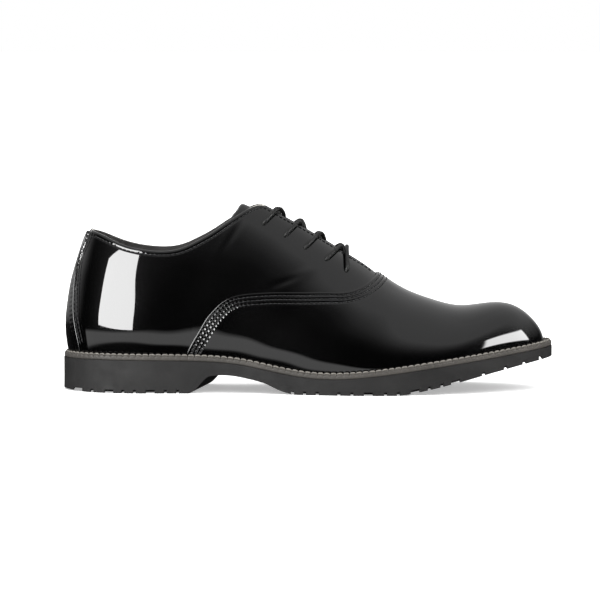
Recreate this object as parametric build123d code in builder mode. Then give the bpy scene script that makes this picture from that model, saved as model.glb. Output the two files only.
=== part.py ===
from build123d import *

import math
import os

import numpy as np

# Men's plain-toe oxford shoe, right foot, welted, with a moulded rubber unit sole.
#
# Millimetres. +X towards the toe, +Y towards the inner (medial) side, +Z up. The origin is on the ground
# under the middle of the shoe's box.
#
# The upper is drawn the way a pattern maker draws it. One smooth form, the outer face of the quarters, is
# worked out from a few widths and heights. Every layer of the upper is a sheet parallel to that form, cut to
# its pattern in side elevation. Depths are measured outwards from the form, so layers inside it are negative.

os.makedirs("parts", exist_ok=True)

# ---------------------------------------------------------------- driving dimensions
SOLE_LENGTH = 305.0
HALF_SOLE = SOLE_LENGTH / 2

HEEL_GAP = 4.3  # sole edge to the foot of the upper, at the heel
TOE_GAP = 5.6  # and at the toe
UPPER_MIDDLE = (HEEL_GAP - TOE_GAP) / 2
HALF_UPPER = HALF_SOLE - (HEEL_GAP + TOE_GAP) / 2
UPPER_SHARE = 0.885  # the upper's width over the sole's, at the feather edge

# Half widths of the sole at stations along its length, and the radius that each end is rounded to.
HEEL_RADIUS = 27.0
TOE_RADIUS = 24.0
LATERAL_HALF = [(-112, 36.5), (-75, 37), (-35, 40.5), (5, 49.5), (35, 54.3), (70, 51.5), (100, 44),
                (130, 29.5)]
MEDIAL_HALF = [(-112, 35.5), (-75, 31), (-35, 30), (5, 39), (35, 48.5), (60, 51.5), (85, 49.5), (110, 42),
               (130, 31.5)]

# Side elevation: the line between outsole and welt, and the ridge of the form over the instep and toe.
SEAT_LINE = [(-153, 20.3), (-110, 20.3), (-71, 19.8), (-41, 17.6), (-23, 14.0), (-5, 10.8), (12, 9.7),
             (30, 10.5), (54, 13.2), (84, 17.4), (115, 21.9), (153, 27.4)]
RIDGE_LINE = [(-149, 112), (-130, 121), (-90, 128), (-45, 124.5), (-25, 115.8), (-13, 109), (4, 98.6),
              (14, 92.4), (26, 84.8), (37, 77.2), (45, 71.4), (55, 64.7), (75, 56.0), (95, 51.6),
              (115, 53.3), (130, 50.8), (140, 42.8)]
TOE_RISE = 119.0  # how steeply the ridge leaves the toe
BACK_LEAN = 24.0  # how far the top of the back stands forward of its foot
BULGE = 3.4  # how far the walls swell past their foot
FULLNESS = [(-150, 2.2), (-60, 2.35), (-20, 2.2), (40, 1.6), (80, 1.6), (115, 2.2), (148, 2.0)]

WELT_THICKNESS = 3.3
FILLER_THICKNESS = 2.0
INSOLE_THICKNESS = 2.2
FOOTBED_THICKNESS = 4.0

# Layers of the upper: (inner face, outer face), as depths from the form.
QUARTER = (-1.4, 0.0)
SKIVING = (-0.65, 1.0)  # what is taken off the quarter's edge where the vamp covers it
VAMP = (-0.6, 0.8)
BACKSTAY = (0.15, 0.85)
STIFFENER = (-2.3, -1.45)
TOE_STIFFENER = (-1.5, -0.65)
QUARTER_LINING = (-3.3, -2.35)
VAMP_LINING = (-2.5, -1.55)
VAMP_BACKING = (-1.5, -0.65)
QUARTER_BACKING = (-2.3, -1.45)
TONGUE_DEPTH = -7.7
# The tongue's layers are measured from its outer face along one line, square to the throat.
TONGUE_SQUARE = (0.5, 0.0, 0.866)
TONGUE_LEATHER = (-1.1, 0.0)
TONGUE_FOAM = (-3.4, -1.15)
TONGUE_LINING = (-4.3, -3.45)
THREAD = (0.06, 0.24)  # bottom and top of a row of thread, over the leather it is sewn through
THREAD_WIDTH = 0.7
VAMP_ROWS = (2.2, 4.6, 7.0)  # rows of thread in from the vamp's edge
BACKSTAY_ROWS = (-1.0, -2.0)  # foreshortened, where the heel turns away
BACKSTAY_THREAD_WIDTH = 0.35
TOPLINE_ROW = 2.6
HOLE_RADIUS = 2.1
EYELET_RADII = (2.3, 3.9)
EYELET_DEPTHS = (-4.15, -3.7)

GAP = 0.05  # between pieces that lie against each other
SKIRT = -0.06  # the climb at which sheets start, a little under the feather edge
WIDE = 80.0  # past either side of the shoe


# ---------------------------------------------------------------- the form
def cubic(points):
    """A smooth curve, with a natural end at each side, through (x, value) points."""
    x, y = np.array(sorted(points), float).T
    h = np.diff(x)
    n = len(x)
    rows = np.zeros((n, n))
    slopes = np.zeros(n)
    rows[0, 0] = rows[-1, -1] = 1
    for i in range(1, n - 1):
        rows[i, i - 1 : i + 2] = h[i - 1], 2 * (h[i - 1] + h[i]), h[i]
        slopes[i] = 6 * ((y[i + 1] - y[i]) / h[i] - (y[i] - y[i - 1]) / h[i - 1])
    bend = np.linalg.solve(rows, slopes)

    def at(value):
        v = np.clip(np.asarray(value, float), x[0], x[-1])
        i = np.clip(np.searchsorted(x, v) - 1, 0, n - 2)
        a, b = (x[i + 1] - v) / h[i], (v - x[i]) / h[i]
        return a * y[i] + b * y[i + 1] + ((a**3 - a) * bend[i] + (b**3 - b) * bend[i + 1]) * h[i] ** 2 / 6

    return at


def half_outline(stations):
    """Half width as a function of the end angle: 0 at the heel, pi at the toe, rounded at both ends."""
    shares = [(0.0, math.sqrt(HEEL_RADIUS * HALF_SOLE)), (math.pi, math.sqrt(TOE_RADIUS * HALF_SOLE))]
    for x, width in stations:
        angle = math.acos(-x / HALF_SOLE)
        shares.append((angle, width / math.sin(angle)))
    curve = cubic(shares)
    return lambda angle: curve(angle) * np.sin(angle)


half_width = {-1: half_outline(LATERAL_HALF), 1: half_outline(MEDIAL_HALF)}
seat_height = cubic(SEAT_LINE)
fullness = cubic(FULLNESS)


def upper_x(angle):
    return UPPER_MIDDLE - HALF_UPPER * np.cos(angle)


def upper_angle(x):
    return np.arccos(np.clip((UPPER_MIDDLE - x) / HALF_UPPER, -1, 1))


def ridge_rise(x, z):
    """The form's height parameter that puts its ridge at x, z."""
    return (z - float(seat_height(x))) / math.cos(float(upper_angle(x)) / 2)


ridge_share = cubic(
    [(float(upper_angle(x)), ridge_rise(x, z)) for x, z in RIDGE_LINE]
    + [(math.pi, TOE_RISE)]
)


def form_point(angle, climb, side):
    """A point of the form. climb is 0 at the feather edge and pi/2 on the ridge; below 0 it is a skirt."""
    step = 1e-4
    x, y = upper_x(angle), UPPER_SHARE * half_width[side](angle)
    run = upper_x(angle + step) - upper_x(angle - step)
    rise = UPPER_SHARE * (half_width[side](angle + step) - half_width[side](angle - step))
    length = np.hypot(run, rise)
    rise_share = np.sin(climb)
    s = np.clip(rise_share, 0, 1)
    bulge = BULGE * np.cos(angle / 2) * 6.75 * rise_share * (1 - rise_share) ** 2
    out_x, out_y = x - bulge * rise / length, y + bulge * run / length
    lean = BACK_LEAN * ((1 + np.cos(angle)) / 2) ** 5
    out_x = out_x + (x + lean - out_x) * (1 - np.sqrt(1 - np.minimum(s, 1) ** 2))
    out_y = out_y * np.sqrt(np.maximum(1 - s ** fullness(x), 0)) * np.sign(np.cos(climb) + 1e-12)
    height = ridge_share(angle) * np.cos(angle / 2)
    z = seat_height(x) + height * rise_share
    return np.stack([out_x, side * out_y, z], -1)


def form_grid(angles, climbs, side, depth):
    """Points of the form on a grid, moved out by depth along its normals."""
    a, c = np.meshgrid(angles, climbs, indexing="ij")
    step = 1e-3
    along = form_point(a + step, c, side) - form_point(a - step, c, side)
    up = form_point(a, c + step, side) - form_point(a, c - step, side)
    normal = np.cross(along, up) * -side
    normal /= np.linalg.norm(normal, axis=-1, keepdims=True)
    return form_point(a, c, side) + depth * normal


def on_form(x, z, side, depth):
    """The point and outward normal at that place in side elevation, at that depth."""
    angle = float(upper_angle(x))
    for _ in range(12):
        height = float(ridge_share(angle)) * math.cos(angle / 2)
        climb = math.asin(min(1.0, max(0.0, (z - float(seat_height(upper_x(angle)))) / height)))
        miss = x - float(form_point(np.float64(angle), np.float64(climb), side)[0])
        angle = float(upper_angle(upper_x(angle) + miss))
    here = form_grid([angle], [climb], side, depth)[0, 0]
    normal = form_grid([angle], [climb], side, depth + 1)[0, 0] - here
    return Vector(*here), Vector(*normal)


# ---------------------------------------------------------------- sheets and patterns
BACK, FRONT, LOW, HIGH = -160.0, 160.0, -5.0, 140.0  # past the shoe in side elevation

# How far each uncut sheet runs along the shoe, and how many stations and rows of points draw it.
QUARTER_SHEET = {"start_x": BACK, "end_x": 75, "stations": 17, "rows": 10}
VAMP_SHEET = {"start_x": -80, "end_x": 146.8, "stations": 26, "rows": 12}
HEEL_SHEET = {"start_x": BACK, "end_x": -40, "stations": 13, "rows": 12, "heel": True}
TOE_SHEET = {"start_x": 90, "end_x": 146.8, "stations": 12, "rows": 10}
TONGUE_SHEET = {"start_x": -56, "end_x": 52, "stations": 14, "rows": 12, "tongue": True}
OPEN_TOP = 1.45  # the climb where sheets that don't cross the ridge stop


def sheet(depths, start_x, end_x, stations, rows, sides=(-1, 1), heel=False, tongue=False):
    """An uncut sheet of the upper: the space between two faces parallel to the form.

    A two sided sheet crosses the ridge, or with heel=True it wraps round the back of the heel instead. A
    tongue sheet is made of two copies of one face, moved along the line square to the throat.
    """
    first = 0 if heel else float(upper_angle(start_x))
    angles = np.linspace(first, float(upper_angle(end_x)), stations)
    climbs = np.linspace(SKIRT, math.pi / 2 if len(sides) == 2 and not heel else OPEN_TOP, rows)
    faces = []
    for depth in depths:
        grids = [form_grid(angles, climbs, side, TONGUE_DEPTH if tongue else depth) for side in sides]
        grid = grids[0]
        if heel and len(sides) == 2:
            grid = np.concatenate([grids[0][::-1], grids[1][1:]], axis=0)
        elif len(sides) == 2:
            grid = np.concatenate([grids[0], grids[1][:, -2::-1]], axis=1)
        if tongue:
            grid = grid + depth * np.array(TONGUE_SQUARE)
        shares = np.linspace(0, 1, grid.shape[1])
        curves = [Edge.make_spline([Vector(*point) for point in row], parameters=shares) for row in grid]
        ribs = [Wire([curve]) for curve in curves]
        faces.append(Shell.make_loft(ribs).faces()[0])
    walls = [Face.make_surface_from_curves(a, b) for a, b in zip(faces[0].edges(), faces[1].edges())]
    return Solid(Shell(faces + walls))


def plan_points(side, depth, count=40):
    """Points of the form's foot in plan, from heel to toe along one side, moved out by depth."""
    angles = np.linspace(0, math.pi, count)
    step = 1e-3
    here = form_point(angles, 0.0, side)[:, :2]
    along = form_point(angles + step, 0.0, side)[:, :2] - form_point(angles - step, 0.0, side)[:, :2]
    out = np.stack([along[:, 1], -along[:, 0]], -1) * -side
    out /= np.linalg.norm(out, axis=-1, keepdims=True)
    return here + depth * out


def sole_points(side, inset, count=40):
    """Points of the sole's outline in plan, from heel to toe along one side, moved in by inset."""
    angles = np.linspace(0, math.pi, count)
    step = 1e-3

    def outline(angle):
        return np.stack([-HALF_SOLE * np.cos(angle), side * half_width[side](angle)], -1)

    along = outline(angles + step) - outline(angles - step)
    out = np.stack([along[:, 1], -along[:, 0]], -1) * -side
    out /= np.linalg.norm(out, axis=-1, keepdims=True)
    return outline(angles) - inset * out


def closed_outline(lateral, medial):
    """The flat face inside the outline through both sides' points."""
    with BuildSketch() as face:
        with BuildLine():
            Spline([tuple(p) for p in lateral[:-1]] + [tuple(p) for p in medial[:0:-1]], periodic=True)
        make_face()
    return face.sketch


def upper_outline(depth):
    return closed_outline(plan_points(-1, depth), plan_points(1, depth))


def sole_outline(inset=0.0):
    return closed_outline(sole_points(-1, inset), sole_points(1, inset))


def seat_points(lift, start=-HALF_SOLE - 1, end=HALF_SOLE + 1, count=24):
    return [(x, float(seat_height(x)) + lift) for x in np.linspace(start, end, count)]


def seat_band(bottom, top):
    """The side elevation between two lines parallel to the seat line."""
    low, high = seat_points(bottom), seat_points(top)
    with BuildSketch() as band:
        with BuildLine():
            Spline(low)
            Line(low[-1], high[-1])
            Spline(high)
            Line(high[0], low[0])
        make_face()
    return band.sketch


def slab(outline, bottom, top):
    """A plate of the sole unit, between two heights above the seat line, with that outline in plan."""
    with BuildPart() as plate:
        with BuildSketch(Plane.XY):
            add(outline)
        extrude(amount=WIDE)
        with BuildSketch(Plane.XZ):
            add(seat_band(bottom, top))
        extrude(amount=WIDE, both=True, mode=Mode.INTERSECT)
    return plate.part


def pattern_of(*patterns, holes=(), floor=GAP):
    """The part of the side elevation inside all the patterns and over the floor, less the holes."""
    with BuildSketch() as cut:
        add(seat_band(floor, WIDE * 2))
        for pattern in patterns:
            add(pattern, mode=Mode.INTERSECT)
        for hole in holes:
            add(hole, mode=Mode.SUBTRACT)
    return cut.sketch


def panel(body, *patterns, holes=(), floor=GAP):
    """A sheet cut to its patterns in side elevation, from a floor over the seat line up."""
    with BuildPart() as piece:
        add(body)
        with BuildSketch(Plane.XZ):
            add(pattern_of(*patterns, holes=holes, floor=floor))
        extrude(amount=WIDE, both=True, mode=Mode.INTERSECT)
    return piece.part


def outlined(line, *corners):
    """A pattern bounded by a smooth line through points and then by straight lines through corners."""
    with BuildSketch() as pattern:
        with BuildLine():
            Spline(line)
            Polyline([line[-1], *corners, line[0]])
        make_face()
    return pattern.sketch


# ---------------------------------------------------------------- pattern lines, in side elevation (x, z)
TOPLINE = [(-139.5, 101.0), (-130, 98.3), (-120, 93.9), (-110, 90.4), (-100, 88.6), (-90, 88),
           (-80, 89.3), (-70, 93.5), (-60, 99), (-50, 105.7), (-42.5, 110.5), (-36, 114.2),
           (-32, 115.6)]
FACING_EDGE = [(-32, 115.6), (-29, 115.8), (-25.6, 114.6), (-14.4, 108), (-5, 102.8), (4.4, 97.2),
               (13.8, 91.4), (26.2, 83.6), (35.6, 77.6), (43, 72)]
VAMP_EDGE = [(-76, 17), (-75, 23.9), (-70.9, 32.8), (-67.1, 39.1), (-62.6, 46.6), (-57.5, 52.4),
             (-51.9, 57.2), (-44.4, 60.3), (-35.2, 61.7), (-22.5, 62.4), (-5, 62.5), (13.8, 62.4),
             (21.9, 62.4), (30.6, 64.4), (38.1, 68.4), (43.4, 73.2), (46, 79)]
BACKSTAY_FRONT = [(-139, 14), (-141.7, 27.9), (-145, 45.9), (-145.4, 58.2), (-144.2, 72.9), (-141.7, 85.2),
                  (-137.2, 96.8), (-136.2, 102)]
edge_height = cubic(FACING_EDGE)
EYELETS = [(-27.8, 103.9), (-14.4, 96.6), (-1.8, 89.2), (11.1, 82), (23.9, 74.9)]
THROAT_ENDS = (-27.0, 33.0)
UNDERLAP_WIDTH = 7.0
LINING_SET_BACK = 0.6
LINING_STEP = 1.2  # the linings change over a little in front of the vamp's edge
COUNTER_EDGE = [(-160, 64), (-140, 65), (-118, 60), (-97, 46), (-84, 30), (-79, 14)]
TOE_STIFFENER_X = 104.0
TOE_STIFFENER_ROUND = 3.0
STAY_WIDTH = 19.0
BACKING_GAP = 0.2
TONGUE_EDGE = [(-40.5, 128), (-40.2, 118), (-43.5, 113.5), (-47.7, 107.7), (-49, 103), (-44, 98.6),
               (-33, 93.5), (-9, 84), (10, 74), (26, 64.5), (37, 57)]


def beside(line, distance):
    """The line moved sideways by distance, to the right of its direction."""
    points = np.array(line, float)
    along = np.gradient(points, axis=0)
    along /= np.linalg.norm(along, axis=1, keepdims=True)
    return [tuple(p) for p in points + distance * np.stack([along[:, 1], -along[:, 0]], 1)]


def strip(line, near, far):
    """The band in side elevation between two lines, each beside the given one."""
    first, second = beside(line, near), beside(line, far)
    with BuildSketch() as band:
        with BuildLine():
            Spline(first)
            Line(first[-1], second[-1])
            Spline(second)
            Line(second[0], first[0])
        make_face()
    return band.sketch


def in_front_of(line):
    return outlined(line, (line[-1][0], HIGH), (FRONT, HIGH), (FRONT, LOW), (line[0][0], LOW))


def behind(line):
    return outlined(line, (line[-1][0], HIGH), (BACK, HIGH), (BACK, LOW), (line[0][0], LOW))


def toe_line(shift):
    """The back edge of the toe stiffener in side elevation, moved along the shoe by shift."""
    x = TOE_STIFFENER_X + shift
    return [(x, LOW), (x + TOE_STIFFENER_ROUND, 30), (x, 70)]


def save(piece, name):
    piece.part.label = name
    export_step(piece.part, f"parts/{name}.step")


quarter_pattern = outlined(TOPLINE + FACING_EDGE[1:], (60, 60), (60, LOW), (BACK, LOW), (BACK, 101))
lining_top = beside(TOPLINE + FACING_EDGE[1:], LINING_SET_BACK)
lining_pattern = outlined(lining_top, (60, 60), (60, LOW), (BACK, LOW), (BACK, 100))
vamp_pattern = in_front_of(VAMP_EDGE)
behind_vamp = behind(beside(VAMP_EDGE, -GAP))
lining_change = beside(VAMP_EDGE, LINING_STEP)
under_vamp = behind(beside(VAMP_EDGE, UNDERLAP_WIDTH))
stay_pattern = strip(FACING_EDGE, -2, STAY_WIDTH)
counter_pattern = outlined(COUNTER_EDGE, (-79, LOW), (-160, LOW))
tongue_pattern = outlined(TONGUE_EDGE, (48, 62), (48, 128))
backstay_pattern = behind(BACKSTAY_FRONT)
SIDES = {"lateral": -1, "medial": 1}


# ---------------------------------------------------------------- the upper
def eyelet_plane(place, side, depth):
    """The plane of a lace hole at that depth, its normal pointing out of the shoe."""
    point, normal = on_form(*place, side, depth)
    return Plane(origin=point, z_dir=normal)


def lace_holes(side):
    """Round pins that punch the lace holes of one side."""
    with BuildPart() as pins:
        for place in EYELETS:
            with BuildSketch(eyelet_plane(place, side, 2)):
                Circle(HOLE_RADIUS)
            extrude(amount=-6)
    return pins.part


def skived(side):
    """The leather taken off the outside of a quarter where the vamp lies over it."""
    with BuildPart() as shaving:
        add(sheet(SKIVING, sides=(side,), **QUARTER_SHEET))
        with BuildSketch(Plane.XZ):
            add(in_front_of(beside(VAMP_EDGE, -GAP)))
        extrude(amount=WIDE, both=True, mode=Mode.INTERSECT)
    return shaving.part


def throat_edge(side, count=13):
    """The facing's edge in plan, on the outer face of the quarter."""
    stations = np.linspace(*THROAT_ENDS, count)
    return [tuple(on_form(x, float(edge_height(x)), side, 0)[0])[:2] for x in stations]


with BuildPart() as throat:
    with BuildSketch(Plane.XY):
        with BuildLine():
            Spline(throat_edge(-1))
            Line(throat_edge(-1)[-1], throat_edge(1)[-1])
            Spline(throat_edge(1))
            Line(throat_edge(1)[0], throat_edge(-1)[0])
        make_face()
    extrude(amount=WIDE * 2)


for side_name, side in SIDES.items():
    holes = lace_holes(side)

    with BuildPart() as quarter:
        add(panel(sheet(QUARTER, sides=(side,), **QUARTER_SHEET), quarter_pattern, under_vamp))
        add(skived(side), mode=Mode.SUBTRACT)
        add(throat.part, mode=Mode.SUBTRACT)
        add(holes, mode=Mode.SUBTRACT)
    save(quarter, f"quarter_{side_name}")

    backing_sheet = sheet(QUARTER_BACKING, sides=(side,), **QUARTER_SHEET)
    with BuildPart() as facing_stay:
        add(panel(backing_sheet, lining_pattern, stay_pattern, behind(lining_change)))
        add(throat.part, mode=Mode.SUBTRACT)
        add(holes, mode=Mode.SUBTRACT)
    save(facing_stay, f"facing_stay_{side_name}")

    with BuildPart() as quarter_backing:
        add(panel(backing_sheet, lining_pattern, behind(beside(lining_change, -GAP)),
                  holes=[counter_pattern, stay_pattern]))
    save(quarter_backing, f"quarter_backing_{side_name}")

    with BuildPart() as quarter_lining:
        add(panel(sheet(QUARTER_LINING, sides=(side,), **QUARTER_SHEET), lining_pattern,
                  behind(beside(lining_change, -GAP))))
        add(throat.part, mode=Mode.SUBTRACT)
        add(holes, mode=Mode.SUBTRACT)
    save(quarter_lining, f"quarter_lining_{side_name}")

    with BuildPart() as eyelets:
        for place in EYELETS:
            with BuildSketch(eyelet_plane(place, side, EYELET_DEPTHS[0])):
                Circle(EYELET_RADII[1])
                Circle(EYELET_RADII[0], mode=Mode.SUBTRACT)
            extrude(amount=EYELET_DEPTHS[1] - EYELET_DEPTHS[0])
    save(eyelets, f"eyelets_{side_name}")

with BuildPart() as vamp:
    add(panel(sheet(VAMP, **VAMP_SHEET), vamp_pattern))
save(vamp, "vamp")

with BuildPart() as toe_stiffener:
    add(panel(sheet(TOE_STIFFENER, **TOE_SHEET), outlined(toe_line(0), (FRONT, 70), (FRONT, LOW))))
save(toe_stiffener, "toe_stiffener")

with BuildPart() as vamp_backing:
    add(panel(sheet(VAMP_BACKING, **VAMP_SHEET), in_front_of(beside(VAMP_EDGE, UNDERLAP_WIDTH + BACKING_GAP)),
              outlined(toe_line(-BACKING_GAP), (TOE_STIFFENER_X, HIGH), (BACK, HIGH), (BACK, LOW))))
save(vamp_backing, "vamp_backing")

with BuildPart() as vamp_lining:
    add(panel(sheet(VAMP_LINING, **VAMP_SHEET), in_front_of(lining_change)))
save(vamp_lining, "vamp_lining")

with BuildPart() as backstay:
    add(panel(sheet(BACKSTAY, **HEEL_SHEET), quarter_pattern, backstay_pattern))
save(backstay, "backstay")

with BuildPart() as heel_counter:
    add(panel(sheet(STIFFENER, **HEEL_SHEET), counter_pattern))
save(heel_counter, "heel_counter")


# ---------------------------------------------------------------- seams: rows of thread on the leather
def thread_sheet(leather, **extent):
    """The thin sheet over that leather which rows of thread are cut from."""
    return sheet((leather[1] + THREAD[0], leather[1] + THREAD[1]), **extent)


def thread_row(line, offset, width=THREAD_WIDTH):
    return strip(line, offset - width / 2, offset + width / 2)


SEAM_FLOOR = WELT_THICKNESS + 1.0  # rows of thread stop over the welt

with BuildPart() as vamp_stitching:
    for offset in VAMP_ROWS:
        for side in SIDES.values():
            half = thread_sheet(VAMP, sides=(side,), start_x=-80, end_x=75, stations=18, rows=12)
            add(panel(half, thread_row(VAMP_EDGE[1:-1], offset), floor=SEAM_FLOOR))
save(vamp_stitching, "vamp_stitching")

with BuildPart() as backstay_stitching:
    for offset in BACKSTAY_ROWS:
        row = thread_row(BACKSTAY_FRONT[1:-1], offset, BACKSTAY_THREAD_WIDTH)
        add(panel(thread_sheet(BACKSTAY, **HEEL_SHEET), row, quarter_pattern, floor=SEAM_FLOOR))
save(backstay_stitching, "backstay_stitching")

with BuildPart() as topline_stitching:
    for side in SIDES.values():
        body = thread_sheet(QUARTER, sides=(side,), **QUARTER_SHEET)
        add(panel(body, thread_row(TOPLINE[1:-1], TOPLINE_ROW), holes=[backstay_pattern]))
        add(panel(body, thread_row(FACING_EDGE[2:-1], TOPLINE_ROW), behind_vamp))
save(topline_stitching, "topline_stitching")

# ---------------------------------------------------------------- the tongue, hung from a folded root
ROOT_X, ROOT_DEPTH = 46.0, -6.5
ROOT_RADIUS = 1.9
ROOT_HALF_LENGTH = 6.5
root = form_grid([float(upper_angle(ROOT_X))], [math.pi / 2], -1, ROOT_DEPTH)[0, 0]
TONGUE_PIVOT = (float(root[0]), 0.0, float(root[2]))

with BuildPart() as tongue:
    add(panel(sheet(TONGUE_LEATHER, **TONGUE_SHEET), tongue_pattern))
    with BuildSketch(Plane.XZ):
        with Locations((TONGUE_PIVOT[0], TONGUE_PIVOT[2])):
            Circle(ROOT_RADIUS)
    extrude(amount=ROOT_HALF_LENGTH, both=True)
save(tongue, "tongue")

with BuildPart() as tongue_foam:
    add(panel(sheet(TONGUE_FOAM, **TONGUE_SHEET), tongue_pattern))
save(tongue_foam, "tongue_foam")

with BuildPart() as tongue_lining:
    add(panel(sheet(TONGUE_LINING, **TONGUE_SHEET), tongue_pattern))
save(tongue_lining, "tongue_lining")


# ---------------------------------------------------------------- the sole unit
HEEL_BACK_RISE = 1.2
HEEL_BREAST = [(-68, 0), (-63, 3.5), (-59, 8), (-55, 10.8)]
ARCH = [(-55, 10.8), (-42, 11.2), (-30, 9.2), (-19, 6.2), (-11, 2.6), (-4, 0.6), (4, 0)]
BALL_END = 52.0
TOE_SPRING = [(BALL_END, 0), (66, 1.6), (86, 5.9), (109, 11.6), (132, 16.9), (154, 21.2)]
BREAST_SKEW = 0.155  # the heel's front runs further forward on the inner side
GROOVE_DEPTH = 2.2
HEEL_GROOVES = [-142.8, -133.8, -123.1, -114.4, -107.2, -97.5, -88.1, -80.6]
SOLE_GROOVES = [-9.6, -2.2, 5.6, 18.8, 26.9, 36.9, 47.5, 55.3, 65.6, 74.4, 82.2, 90.6, 108.1, 121.9, 133.8, 144.4]
WIDE_GROOVES = [-142.8, -123.1, -97.5, 36.9, 65.6, 90.6]
NARROW, BROAD = 1.8, 5.4
EDGE_LUG = 14.0  # depth of the lugs round the edge
CHANNEL = 3.0
LUG_PITCH = 17.0
LUG_ARM = 4.6
WELT_INSET = 0.4
WELT_CLEARANCE = 0.25
WELT_STITCH = (0.95, 1.85)  # the lockstitch's two edges, in from the sole's edge
WELT_STITCH_HEIGHT = 0.5
LASTING_INSET = 3.6  # the insole's edge, in from the foot of the form
FOOTBED_INSET = 4.4
FOOTBED_TOE = 5.0
SHANK_X = -42.0
COVER_THICKNESS = 1.0
SHANK_LENGTH, SHANK_WIDTH, SHANK_THICKNESS = 96.0, 14.0, 1.2


def tread_line(lift):
    """The bottom of the sole unit in side elevation, from the breast forward, raised by lift."""
    return [(x, z + lift) for x, z in TOE_SPRING]


with BuildPart() as sole_block:
    with BuildSketch(Plane.XY):
        add(sole_outline())
    extrude(amount=WIDE)
    top = seat_points(0)
    with BuildSketch(Plane.XZ):
        with BuildLine():
            Line((-154, HEEL_BACK_RISE), (-133, 0))
            Line((-133, 0), (BALL_END, 0))
            Spline(TOE_SPRING, tangents=[(1, 0), (1, 0.19)])
            Line(TOE_SPRING[-1], top[-1])
            Spline(top)
            Line(top[0], (-154, HEEL_BACK_RISE))
        make_face()
    extrude(amount=WIDE, both=True, mode=Mode.INTERSECT)
    with BuildSketch(Plane.XZ):
        with BuildLine():
            Spline(HEEL_BREAST)
            Spline(ARCH, tangents=[(1, 0.15), (1, 0)])
            Line(ARCH[-1], HEEL_BREAST[0])
        make_face()
    extrude(amount=WIDE, both=True, dir=(BREAST_SKEW, 1, 0), mode=Mode.SUBTRACT)


def tread_field(start, end):
    """The middle of the tread, inside the edge lugs, between two stations."""
    with BuildSketch() as field:
        add(sole_outline(EDGE_LUG))
        with Locations(((start + end) / 2, 0)):
            Rectangle(end - start, WIDE * 2, mode=Mode.INTERSECT)
    return field.sketch


def tread_lugs(start, end):
    """Plus shaped lugs on a grid, each as far from its neighbour as it is wide."""
    columns = int((end - start) / LUG_PITCH)
    middle = (start + end) / 2
    with BuildSketch() as lugs:
        with GridLocations(LUG_PITCH, LUG_PITCH, columns, 5):
            Rectangle(LUG_PITCH - CHANNEL, LUG_ARM)
            Rectangle(LUG_ARM, LUG_PITCH - CHANNEL)
    return lugs.sketch.moved(Location((middle, 0)))


with BuildPart() as grooves:
    with BuildSketch(Plane.XY):
        for x in HEEL_GROOVES + SOLE_GROOVES:
            with Locations((x, 0)):
                Rectangle(BROAD if x in WIDE_GROOVES else NARROW, WIDE * 2)
        add(sole_outline(EDGE_LUG - CHANNEL), mode=Mode.SUBTRACT)
    extrude(amount=WIDE)
    with BuildSketch(Plane.XY):
        for start, end in [(-136, -86), (-2, 132)]:
            add(tread_field(start, end))
            add(tread_lugs(start, end), mode=Mode.SUBTRACT)
    extrude(amount=WIDE)
    with BuildSketch(Plane.XZ):
        with BuildLine():
            toe_end = tread_line(GROOVE_DEPTH)[-1]
            Polyline((-160, -9), (160, -9), (160, toe_end[1]), toe_end)
            Spline(tread_line(GROOVE_DEPTH), tangents=[(1, 0), (1, 0.19)])
            Polyline(tread_line(GROOVE_DEPTH)[0], (-160, GROOVE_DEPTH), (-160, -9))
        make_face()
    extrude(amount=WIDE, both=True, mode=Mode.INTERSECT)

with BuildPart() as outsole:
    add(sole_block.part)
    add(grooves.part, mode=Mode.SUBTRACT)
save(outsole, "outsole")


def welt_foot(side, count=40):
    """The welt's inner edge in plan, from heel to toe, clear of the lasted leather inside it."""
    foot = plan_points(side, 0, count)
    out = plan_points(side, 1, count) - foot
    angles = np.linspace(0, math.pi, count)
    reach = np.zeros(count)
    for climb in np.linspace(0, 1.2, 60):
        points = form_point(angles, climb, side)
        rise = points[:, 2] - seat_height(points[:, 0])
        swell = ((points[:, :2] - foot) * out).sum(1)
        reach = np.where(rise < WELT_THICKNESS + 0.1, np.maximum(reach, swell), reach)
    leather = np.interp(foot[:, 0], (-110, -90), (BACKSTAY[1], VAMP[1]))
    return foot + (reach + leather + WELT_CLEARANCE)[:, None] * out


with BuildPart() as welt:
    add(slab(sole_outline(WELT_INSET), GAP, WELT_THICKNESS))
    add(slab(closed_outline(welt_foot(-1), welt_foot(1)), 0, WELT_THICKNESS + 1), mode=Mode.SUBTRACT)
save(welt, "welt")

with BuildPart() as welt_stitching:
    add(slab(sole_outline(WELT_STITCH[0]), WELT_THICKNESS + 0.02, WELT_THICKNESS + WELT_STITCH_HEIGHT))
    add(slab(sole_outline(WELT_STITCH[1]), WELT_THICKNESS - 1, WELT_THICKNESS + 2), mode=Mode.SUBTRACT)
save(welt_stitching, "welt_stitching")


def inside_outline(depth, toe_step):
    """The upper's foot in plan moved in by depth, and by toe_step more at the toe."""
    with BuildSketch() as inside:
        add(upper_outline(depth))
        add(upper_outline(depth).moved(Location((-toe_step, 0))), mode=Mode.INTERSECT)
    return inside.sketch


with BuildPart() as shank:
    with BuildSketch(Plane.XY):
        with Locations((SHANK_X, 0)):
            SlotOverall(SHANK_LENGTH, SHANK_WIDTH)
    extrude(amount=WIDE)
    with BuildSketch(Plane.XZ):
        add(seat_band(0.4, 0.4 + SHANK_THICKNESS))
    extrude(amount=WIDE, both=True, mode=Mode.INTERSECT)
save(shank, "shank")

with BuildPart() as filler:
    add(slab(inside_outline(-LASTING_INSET, 1.5), GAP, FILLER_THICKNESS))
    with BuildSketch(Plane.XY):
        with Locations((SHANK_X, 0)):
            SlotOverall(SHANK_LENGTH + 0.6, SHANK_WIDTH + 0.6)
    extrude(amount=WIDE, mode=Mode.SUBTRACT)
save(filler, "filler")

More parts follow.
